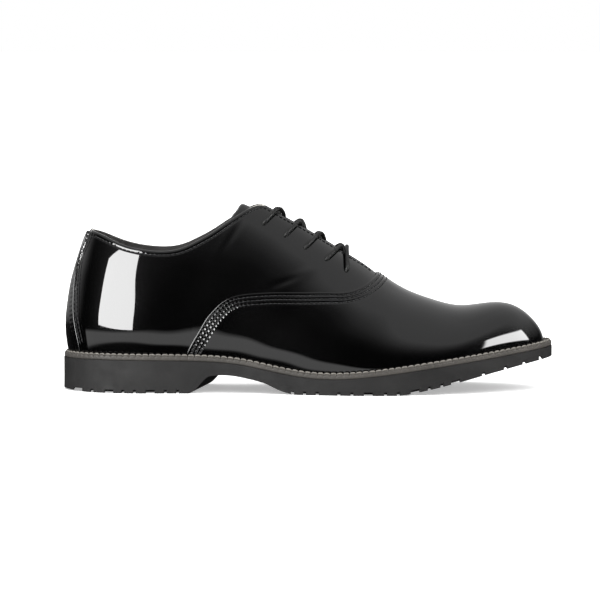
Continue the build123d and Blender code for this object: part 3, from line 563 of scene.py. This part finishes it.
def quarter(name, side):
    """One quarter: columns from the feather, or from under the vamp's edge, up to the topline and facing."""
    heel_end, front = 0.5, float(locate([QUARTER_FRONT], side)[0, 0])
    angles = np.concatenate([np.linspace(HEEL_START, heel_end, 60)[:-1], np.linspace(heel_end, front, 240)])
    high = np.stack([angles, column_climb(angles, TOP, side)], -1)
    underlap, edge_roll, thinnest = 3.5, 1.5, 0.004
    lap = offset_line(surface_line(SEAM, side), side, underlap)
    order = np.argsort(lap[:, 0])
    seam_low = np.interp(angles, lap[order, 0], lap[order, 1], left=FEATHER_CLIMB, right=math.pi / 2)
    low = np.stack([angles, np.minimum(seam_low, high[:, 1] - thinnest)], -1)
    points, shape = panel(side, low, high, QUARTER_FACE, edge_roll)
    piece = mesh_from(name, points, grid_faces(*shape, flip=side > 0))
    top_line = along_form(surface_line(TOP_EDGE, side), side)
    away, along = line_field(points, top_line)
    attribute(piece, "seam_away", away)
    attribute(piece, "seam_along", along)
    return piece


def vamp():
    """The vamp: columns from the feather up to its edge, or over the ridge in front of the throat."""
    pieces = []
    last_row = LEATHER_ROWS - 1
    toe, edge_roll = math.pi - 0.02, 0.55
    for side in SIDES.values():
        start = float(locate([VAMP_BACK], side)[0, 0])
        throat = float(locate([VAMP_THROAT], side)[0, 0])
        angles = np.concatenate([np.linspace(start, throat, 260)[:-1], np.linspace(throat, toe, 240)])
        closing = angles >= throat
        climb = np.where(angles > throat, math.pi / 2, column_climb(angles, SEAM, side))
        low = np.stack([angles, np.full(len(angles), FEATHER_CLIMB)], -1)
        points, shape = panel(side, low, np.stack([angles, climb], -1), VAMP_FACE, edge_roll)
        faces = grid_faces(*shape, flip=side > 0)
        first_corner = faces.min(1)
        faces = faces[~(closing[first_corner // shape[1]] & (first_corner % shape[1] >= last_row))]
        ridge = form_at(np.stack([angles[closing], np.full(closing.sum(), math.pi / 2)], -1), side,
                        np.full(closing.sum(), VAMP_FACE))
        ridge[:, 2] += relief(ridge) + waviness(ridge)
        grid = points.reshape(*shape, 3)
        grid[closing, last_row:] = ridge[:, None]
        pieces.append((grid.reshape(-1, 3), faces))
    piece = join("vamp_leather", pieces)
    seam_attributes(piece, SEAM_EDGE, 900, VAMP_FACE)
    merge_close(piece)
    return piece


def backstay():
    """The strip up the back of the heel, over the joint of the two quarters."""
    count, columns, edge_radius = 130, 14, 0.5
    sides = []
    for side in SIDES.values():
        front = surface_line(BACK_EDGE, side, count)
        steps = np.linspace(0, 1, columns)
        back = np.stack([np.full(count, HEEL_START), front[:, 1]], -1)
        inner = offset_line(front, side, -edge_radius)
        places = back[:, None] * (1 - steps)[None, :, None] + inner[:, None] * steps[None, :, None]
        turns = np.linspace(0, math.pi * 0.6, 6)[1:]
        edge = np.stack([inner + (front - inner) * math.sin(t) for t in turns], 1)
        places = np.concatenate([places, edge], 1)
        edge_depth = [np.full(count, BACKSTAY_FACE - edge_radius * (1 - math.cos(t))) for t in turns]
        depth = np.concatenate([np.full((count, columns), BACKSTAY_FACE), np.stack(edge_depth, 1)], 1)
        flat = places.reshape(-1, 2)
        base = form_point(flat[:, 0], flat[:, 1], side)
        points = form_at(flat, side, depth.ravel() + waviness(base))
        sides.append((points, grid_faces(count, places.shape[1], flip=side < 0)))
    piece = join("backstay_leather", sides)
    seam_attributes(piece, BACK_EDGE, 300, BACKSTAY_FACE)
    merge_close(piece)
    return piece


# ---------------------------------------------------------------- thread
def tube(points, radii, sides, normal_hint=None):
    """A tube through points, with a radius at each."""
    points, radii = np.asarray(points, float), np.asarray(radii, float)
    along = np.gradient(points, axis=0)
    along /= np.maximum(np.linalg.norm(along, axis=1, keepdims=True), 1e-9)
    hint = np.array([0.0, 0.0, 1.0]) if normal_hint is None else normal_hint
    u = np.cross(along, hint)
    u /= np.maximum(np.linalg.norm(u, axis=1, keepdims=True), 1e-9)
    v = np.cross(u, along)
    turn = np.linspace(0, 2 * math.pi, sides, endpoint=False)
    ring = np.cos(turn)[None, :, None] * u[:, None] + np.sin(turn)[None, :, None] * v[:, None]
    surface = (points[:, None] + radii[:, None, None] * ring).reshape(-1, 3)
    faces = []
    for i in range(len(points) - 1):
        for j in range(sides):
            k = (j + 1) % sides
            faces.append((i * sides + j, i * sides + k, (i + 1) * sides + k, (i + 1) * sides + j))
    return surface, np.array(faces)


def stitch_row(line, normals):
    """Separate stitches along a line of points, each dipping into the leather at both ends."""
    run = np.concatenate([[0], np.cumsum(np.linalg.norm(np.diff(line, axis=0), axis=1))])
    pieces = []
    margin = STITCH_PITCH * 0.6
    t = margin
    profile = np.linspace(-0.5, 0.5, 7)
    while t < run[-1] - margin:
        s = t + profile * STITCH_LENGTH * rng.uniform(0.94, 1.05)
        spine = np.stack([np.interp(s, run, line[:, k]) for k in range(3)], 1)
        n = np.array([np.interp(t, run, normals[:, k]) for k in range(3)])
        lift = THREAD_HEIGHT * (1 - (2 * profile) ** 4 * 1.9)
        spine = spine + lift[:, None] * n
        r = THREAD_RADIUS * np.sqrt(np.maximum(1 - (1.75 * profile) ** 4, 0.12))
        pieces.append(tube(spine, r, THREAD_SIDES, n))
        t += STITCH_PITCH * rng.uniform(0.97, 1.03)
    return pieces


def rows_on_form(line, side, offsets, depth):
    """Rows of stitches beside a pattern line, on leather whose outer face is at that depth."""
    pieces = []
    base = surface_line(line, side, 600)
    for offset in offsets:
        places = offset_line(base, side, offset)
        points = form_at(places, side, np.full(len(places), depth))
        rise = relief(points) + waviness(points)
        normals = slopes_of(places[:, 0], places[:, 1], side)[2]
        pieces += stitch_row(points + rise[:, None] * normals, normals)
    return pieces


# ---------------------------------------------------------------- the welt and its lockstitch
def outline(side, count):
    """Points of the sole's outline in plan from heel to toe along one side, and their outward directions."""
    angles = np.linspace(0, math.pi, count)
    step = 1e-3

    def at(angle):
        return np.stack([-HALF_SOLE * np.cos(angle), side * half_width[side](angle)], -1)

    along = at(angles + step) - at(angles - step)
    out = np.stack([along[:, 1], -along[:, 0]], -1) * -side
    out /= np.linalg.norm(out, axis=-1, keepdims=True)
    return at(angles), out


def ring_line(count):
    """The sole's outline as one closed line with its outward directions, evenly spaced."""
    first, out_first = outline(-1, 900)
    second, out_second = outline(1, 900)
    points = np.concatenate([first, second[-2:0:-1]])
    outs = np.concatenate([out_first, out_second[-2:0:-1]])
    closed = np.concatenate([points, points[:1]])
    run = np.concatenate([[0], np.cumsum(np.linalg.norm(np.diff(closed, axis=0), axis=1))])
    t = np.linspace(0, run[-1], count, endpoint=False)
    outs = np.concatenate([outs, outs[:1]])
    return (np.stack([np.interp(t, run, closed[:, k]) for k in range(2)], 1),
            np.stack([np.interp(t, run, outs[:, k]) for k in range(2)], 1), t, run[-1])


STITCH_COUNT = 172
COLUMNS_PER_STITCH = 14
BEAD_LENGTH, BEAD_RADIUS, BEAD_INSET, BEAD_SIDES = 3.5, 0.55, 1.75, 8
BEAD_HEIGHT, BEAD_RISE = 3.35, 0.36
NOTCH_WIDTH = 0.13  # as a share of a stitch


def welt():
    """The welt strip, notched between the stitches, and the beads of its lockstitch."""
    points, outs, run, total = ring_line(STITCH_COUNT * COLUMNS_PER_STITCH)
    phase = (run / total * STITCH_COUNT) % 1.0
    notch = np.exp(-(((phase + 0.5) % 1.0 - 0.5) / NOTCH_WIDTH) ** 2)
    # (distance in from the outline, height over the seat, how much of the notch it takes, which way)
    section = [(0.75, 0.06, 0, 0), (0.45, 0.3, 0, 0), (0.32, 0.9, 0, 0), (0.3, 1.7, 0.1, 0.0),
               (0.34, 2.4, 0.35, 0.1), (0.5, 2.95, 0.55, 0.35), (0.85, 3.28, 0.4, 0.6),
               (1.4, 3.36, 0.2, 0.62), (2.2, 3.3, 0, 0.4),
               (3.0, 3.26, 0, 0.1), (4.2, 3.3, 0, 0), (8.5, 3.3, 0, 0), (8.5, 0.06, 0, 0)]
    rows = []
    for inset, height, inward, downward in section:
        xy = points - outs * (inset + inward * notch)[:, None]
        z = seat_height(points[:, 0]) + height - downward * notch
        rows.append(np.column_stack([xy, z]))
    grid = np.stack(rows, 1)
    faces = grid_faces(len(points), len(section), flip=True, close=True)
    piece = mesh_from("welt_strip", grid.reshape(-1, 3), faces)
    beads = []
    for i in range(STITCH_COUNT):
        centre = (i + 0.5) / STITCH_COUNT * total
        s = (centre + np.linspace(-0.5, 0.5, 7) * BEAD_LENGTH) % total
        xy = np.stack([np.interp(s, run, points[:, k], period=total) for k in range(2)], 1)
        out = np.stack([np.interp(s, run, outs[:, k], period=total) for k in range(2)], 1)
        profile = np.linspace(-1, 1, 7)
        z = seat_height(xy[:, 0]) + BEAD_HEIGHT + BEAD_RISE * (1 - profile**4 * 1.6)
        spine = np.column_stack([xy - out * BEAD_INSET, z])
        beads.append(tube(spine, BEAD_RADIUS * np.sqrt(np.maximum(1 - (0.95 * profile) ** 4, 0.1)), BEAD_SIDES))
    stitches = join("welt_lockstitch", beads)
    return piece, stitches


# ---------------------------------------------------------------- the lace
LACE_RADIUS = 1.3
LACE_OUTSIDE, LACE_INSIDE = 1.85, -5.6
LACE_OVER, LACE_UNDER = -0.8, -6.1  # depths where two strands cross on the centre line
BAR_LIFT = 2.8
CREST_LIFT, CREST_OUT = 2.6, 0.7  # a strand climbing over the facing's edge stands proud of it
CREST, CROSSING, DIVE = 8.5, 12.0, 15.5  # along the shoe from the hole that a strand is going to
TAIL = [(-32.5, 90, -5.8), (-37, 73, -5.8), (-44, 56, -5.8), (-55, 41.5, -6.2), (-69, 34, -7),
        (-84, 32, -8.5), (-97, 31.8, -10)]
edge_height = cubic(FACING_EDGE)


def ridge_point(x, depth):
    return form_at([(float(upper_angle(x)), math.pi / 2)], -1, [depth])[0]


def side_point(place, side, depth):
    return form_at(locate([place], side), side, [depth])[0]


def edge_place(x, out=0.0):
    """The place of the facing's edge at x, in side elevation, or a little past it."""
    return (x, float(edge_height(x)) + out)


def half_way(first, second):
    return ((first[0] + second[0]) / 2, (first[1] + second[1]) / 2)


def lace_route(first_side):
    """One half of the lace: from the bottom bar's middle to the top, then the tail inside the shoe."""
    side = first_side
    last = len(EYELETS) - 1
    bar_end = edge_place(EYELETS[last][0] - 0.8, 0.3)
    points = [
        ridge_point(EYELETS[last][0] - 1.4, BAR_LIFT),
        side_point(bar_end, side, LACE_OUTSIDE + 0.4),
        side_point(half_way(bar_end, EYELETS[last]), side, LACE_OUTSIDE + 0.1),
    ]
    for number in range(last, -1, -1):
        place = EYELETS[number]
        points.append(side_point(place, side, LACE_OUTSIDE))
        points.append(side_point(place, side, LACE_INSIDE))
        if number:
            target = EYELETS[number - 1]
            dive = edge_place(target[0] + DIVE)
            points.append(side_point(half_way(place, dive), side, LACE_INSIDE + 0.2))
            points.append(side_point(dive, side, LACE_INSIDE + 0.1))
            over = side == (-1) ** (number + 1)
            points.append(ridge_point(target[0] + CROSSING, LACE_OVER if over else LACE_UNDER))
            side = -side
            crest = edge_place(target[0] + CREST, CREST_OUT)
            points.append(side_point(crest, side, CREST_LIFT))
            points.append(side_point(half_way(crest, target), side, LACE_OUTSIDE + 0.1))
    for x, z, depth in TAIL:
        points.append(side_point((x, z), side, depth))
    return points


def lace():
    """The lace as one cord, from tip to tip."""
    data = bpy.data.curves.new("lace_cord", "CURVE")
    data.dimensions = "3D"
    data.bevel_depth = LACE_RADIUS * MM
    data.bevel_resolution = 5
    data.resolution_u = 10
    first, second = (lace_route(side) for side in (-1, 1))
    route = first[::-1] + second[1:]
    spline = data.splines.new("NURBS")
    spline.points.add(len(route) - 1)
    for point, place in zip(spline.points, route):
        point.co = (*(np.asarray(place) * MM), 1)
    spline.order_u = 3
    spline.use_endpoint_u = True
    piece = bpy.data.objects.new("lace_cord", data)
    bpy.context.scene.collection.objects.link(piece)
    return piece


# ---------------------------------------------------------------- the tongue
TONGUE_SQUARE = np.array([0.5, 0.0, 0.866])
TONGUE_DEPTH = -7.7
TONGUE_BACK = [(-40.4, 119), (-43.5, 113.5), (-47.7, 107.7), (-49, 103), (-45.5, 99.5)]
TONGUE_LOW = [(-45.5, 99.5), (-33, 93.5), (-9, 84), (10, 74), (26, 64.5), (37, 57)]
TONGUE_ROOT_X = 45.5
TONGUE_THICKNESS = 4.3


def tongue_start(climbs, side):
    """The angle, for each climb, where the tongue's surface crosses its back edge in side elevation."""
    x, z = smooth_line(TONGUE_BACK, 60)[::-1].T
    low, high = np.full(len(climbs), 0.8), np.full(len(climbs), 1.7)
    for _ in range(30):
        middle = (low + high) / 2
        p = form_at(np.stack([middle, climbs], -1), side, np.full(len(climbs), TONGUE_DEPTH))
        behind = p[:, 0] < np.interp(p[:, 2], z, x)
        low, high = np.where(behind, middle, low), np.where(behind, high, middle)
    return (low + high) / 2


def tongue():
    """A padded tongue: two skins over foam, crowned across, with rolled edges."""
    low = smooth_line(TONGUE_LOW, 200)
    count, half = 150, 30
    steps = np.sin(np.linspace(0, math.pi / 2, half))
    end = float(upper_angle(TONGUE_ROOT_X))
    grid = []
    for side in SIDES.values():
        edge = surface_line(low, side, count)
        first = edge[0, 1] + (math.pi / 2 - edge[0, 1]) * steps
        start = tongue_start(first, side)
        angles = start[None] + (end - start[None]) * np.linspace(0, 1, count)[:, None]
        climb_low = np.interp(angles, edge[:, 0], edge[:, 1])
        climbs = climb_low + (math.pi / 2 - climb_low) * steps[None]
        places = np.stack([angles, climbs], -1)
        p = form_at(places.reshape(-1, 2), side, np.full(places[..., 0].size, TONGUE_DEPTH))
        p = p.reshape(count, half, 3)
        grid.append(p if side < 0 else p[:, ::-1][:, 1:])
    grid = np.concatenate(grid, 1)
    across = np.linspace(-1, 1, grid.shape[1])
    thick = (1 - np.abs(across) ** 6) ** 0.5
    rounded_end = 0.03  # the share of the length over which the back edge closes
    closing = np.clip(np.linspace(0, 1, count) / rounded_end, 0, 1)
    closing = np.sqrt(np.maximum(1 - (1 - closing) ** 2, 0))
    shape = thick[None, :] * closing[:, None]
    skins = []
    for depth in (0.0, -TONGUE_THICKNESS):
        middle = -TONGUE_THICKNESS / 2
        offset = middle + (depth - middle) * shape
        points = grid + offset[..., None] * TONGUE_SQUARE
        skins.append((points.reshape(-1, 3), grid_faces(*grid.shape[:2], flip=depth == 0)))
    piece = join("tongue_padded", skins)
    merge_close(piece, 0.05)
    return piece


# ---------------------------------------------------------------- assembly
def fit(piece, body, mat, *nodes, slot=None):
    """Give a piece its material, the body it rides on and the CAD nodes it replaces."""
    piece.data.materials.clear()
    piece.data.materials.append(mat)
    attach(piece, body)
    if nodes:
        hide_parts(*nodes)
    return piece


fit(vamp(), "shoe", PATENT_VAMP, "vamp", slot="patent_leather")
for side_name, side in SIDES.items():
    fit(quarter("quarter_leather_" + side_name, side), "shoe", PATENT_QUARTER, "quarter_" + side_name,
        slot="patent_leather")
fit(backstay(), "shoe", PATENT_BACK, "backstay", slot="patent_leather")

seam_threads, top_threads, back_threads = [], [], []
for side in SIDES.values():
    seam_threads += rows_on_form(SEAM_STITCHED, side, SEAM_ROWS, VAMP_FACE)
    top_threads += rows_on_form(TOP_STITCHED, side, TOPLINE_ROWS, QUARTER_FACE)
    back_threads += rows_on_form(BACK_STITCHED, side, [-row for row in BACKSTAY_ROWS], BACKSTAY_FACE)
fit(join("vamp_threads", seam_threads), "shoe", THREAD, "vamp_stitching", slot="thread")
fit(join("topline_threads", top_threads), "shoe", THREAD, "topline_stitching", slot="thread")
fit(join("backstay_threads", back_threads), "shoe", THREAD, "backstay_stitching", slot="thread")

strip, lockstitch = welt()
fit(strip, "shoe", WELT, "welt", slot="welt_rubber")
fit(lockstitch, "shoe", WELT_THREAD, "welt_stitching", slot="welt_thread")
fit(lace(), "shoe", LACE, "lace", slot="lace_cord")
fit(tongue(), "tongue", PATENT, "tongue", "tongue_foam", "tongue_lining", slot="patent_leather")

# The pieces that keep the CAD's own mesh.
CAD_LOOKS = {"outsole": SOLE, "shank": STEEL, "filler": CORK, "insole_board": INSOLE, "footbed": FOAM,
             "sock_liner": SOCK, "vamp_lining": LINING, "quarter_lining_lateral": LINING,
             "quarter_lining_medial": LINING, "heel_counter": BOARD, "toe_stiffener": BOARD,
             "vamp_backing": CLOTH, "quarter_backing_lateral": CLOTH, "quarter_backing_medial": CLOTH,
             "facing_stay_lateral": CLOTH, "facing_stay_medial": CLOTH, "eyelets_lateral": BRASS,
             "eyelets_medial": BRASS, "lace_tips": TIP}
for name, look in CAD_LOOKS.items():
    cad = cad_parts[name]
    cad.data.materials.clear()
    cad.data.materials.append(look)


# ---------------------------------------------------------------- stage, light and camera
def emission(name, color, strength):
    m = bpy.data.materials.new(name)
    m.use_nodes = True
    m.node_tree.nodes.clear()
    e = m.node_tree.nodes.new("ShaderNodeEmission")
    e.inputs["Color"].default_value = (*color, 1)
    e.inputs["Strength"].default_value = strength
    out = m.node_tree.nodes.new("ShaderNodeOutputMaterial")
    m.node_tree.links.new(e.outputs[0], out.inputs["Surface"])
    return m


def plane(name, centre, width, height, facing, mat, seen_by):
    """A flat rectangle that only the named kinds of ray see."""
    mesh = bpy.data.meshes.new(name)
    w, h = width / 2, height / 2
    mesh.from_pydata([(-w, -h, 0), (w, -h, 0), (w, h, 0), (-w, h, 0)], [], [(0, 1, 2, 3)])
    piece = bpy.data.objects.new(name, mesh)
    bpy.context.scene.collection.objects.link(piece)
    piece.location = centre
    piece.rotation_euler = Vector(facing).to_track_quat("Z", "Y").to_euler()
    mesh.materials.append(mat)
    for kind in ("camera", "diffuse", "glossy", "transmission", "volume_scatter", "shadow"):
        setattr(piece, "visible_" + kind, kind in seen_by)
    return piece


floor_m, nodes, links, shader = material("floor_paper")
links.new(ramp(nodes, links, noise(nodes, links, 3, 2), 0.3, 0.7, (0.9, 0.9, 0.9), (0.93, 0.93, 0.93)),
          shader.inputs["Base Color"])
shader.inputs["Roughness"].default_value = 0.9
shader.inputs["Specular IOR Level"].default_value = 0.0
shader.inputs["Emission Color"].default_value = (1, 1, 1, 1)
shader.inputs["Emission Strength"].default_value = 0.4
plane("floor", (0, 0, 0), 40, 40, (0, 0, 1), floor_m, ("camera", "diffuse", "shadow"))

# A softbox close to the heel, seen only in the gloss of the leather.
SOFTBOX_CENTRE, SOFTBOX_SIZE = (-0.4475, -0.4, 0.205), (0.465, 0.43)
softbox_glow = emission("softbox_glow", (1, 1, 1), 17.0)
plane("heel_softbox", SOFTBOX_CENTRE, *SOFTBOX_SIZE, (0, 1, 0), softbox_glow, ("glossy",))

world = bpy.data.worlds.new("studio")
bpy.context.scene.world = world
world.use_nodes = True
world.node_tree.nodes["Background"].inputs["Color"].default_value = (1, 1, 1, 1)
world.node_tree.nodes["Background"].inputs["Strength"].default_value = 1.0
world.cycles_visibility.glossy = False
bpy.context.scene.view_settings.view_transform = "Standard"


def step_up(value, edge, soft):
    """0 below the edge and 1 above it, over a width of soft."""
    t = np.clip((value - edge) / soft + 0.5, 0, 1)
    return t * t * (3 - 2 * t)


def window(azimuth, elevation, left, right, low, high, soft=3.0):
    """1 inside a soft-edged rectangle of directions, 0 outside."""
    return (step_up(azimuth, left, soft) * (1 - step_up(azimuth, right, soft))
            * step_up(elevation, low, soft) * (1 - step_up(elevation, high, soft)))


def studio_glow(azimuth, elevation):
    """How bright the studio is in a direction. Azimuth 0 is towards the camera and 90 past the toe."""
    front = np.interp(elevation, [-90, 5, 20, 30, 38, 46, 55, 90],
                      [0.005, 0.005, 0.01, 0.05, 0.17, 0.42, 0.8, 0.8])
    back = np.interp(elevation, [-90, -4, 2, 90], [0.02, 0.02, 0.65, 0.75])
    side = step_up(np.abs(azimuth), 100, 30)
    glow = front * (1 - side) + back * side
    past_toe = step_up(azimuth, 75, 40) * (1 - step_up(azimuth, 150, 30))
    toe_side = np.interp(elevation, [-90, 12, 22, 32, 42, 90], [0.01, 0.02, 0.25, 0.55, 0.75, 0.8])
    glow = glow * (1 - past_toe) + toe_side * past_toe
    glow = glow + 1.25 * window(azimuth, elevation, -80, 34, -15.5, -8, 2)
    glow = glow + 15 * window(azimuth, elevation, 46, 86, 11, 33)
    return glow


def reflected_studio(radius=6.0, columns=360, rows=181):
    """A dome round the shoe that only its glossy surfaces see: the softboxes and white walls of the studio."""
    azimuth = np.linspace(-180, 180, columns, endpoint=False)
    elevation = np.linspace(-89.9, 89.9, rows)
    a, e = np.meshgrid(azimuth, elevation, indexing="ij")
    ar, er = np.radians(a), np.radians(e)
    points = radius * np.stack([np.sin(ar) * np.cos(er), -np.cos(ar) * np.cos(er), np.sin(er)], -1)
    dome = mesh_from("reflected_studio", points.reshape(-1, 3) / MM, grid_faces(columns, rows, close=True))
    attribute(dome, "glow", studio_glow(a, e))
    look = emission("studio_glow", (1, 1, 1), 1.0)
    glow = node(look.node_tree.nodes, "ShaderNodeAttribute", attribute_name="glow")
    look.node_tree.links.new(glow.outputs["Fac"], look.node_tree.nodes["Emission"].inputs["Strength"])
    dome.data.materials.append(look)
    for kind in ("camera", "diffuse", "transmission", "volume_scatter", "shadow"):
        setattr(dome, "visible_" + kind, False)


reflected_studio()

SKY_ENERGY, SKY_ANGLE, SKY_HEADING = 3.2, math.radians(80), (0.0, 0.75, -1.0)
sun_data = bpy.data.lights.new("sky", "SUN")
sun_data.energy = SKY_ENERGY
sun_data.angle = SKY_ANGLE
sun = bpy.data.objects.new("sky", sun_data)
bpy.context.scene.collection.objects.link(sun)
sun.rotation_euler = Vector(SKY_HEADING).to_track_quat("-Z", "Y").to_euler()
sun.visible_glossy = False

TARGET = Vector((-0.005, 0.0, 0.0553))
ELEVATION = math.radians(4.0)
DISTANCE = 2.6
FIELD = 0.375
SENSOR = 36.0
cam_data = bpy.data.cameras.new("camera")
cam = bpy.data.objects.new("camera", cam_data)
bpy.context.scene.collection.objects.link(cam)
cam.location = TARGET + Vector((0, -math.cos(ELEVATION), math.sin(ELEVATION))) * DISTANCE
cam.rotation_euler = (TARGET - cam.location).to_track_quat("-Z", "Y").to_euler()
cam_data.sensor_width = SENSOR
cam_data.lens = SENSOR * DISTANCE / FIELD
cam_data.clip_start, cam_data.clip_end = 0.1, 50
bpy.context.scene.camera = cam
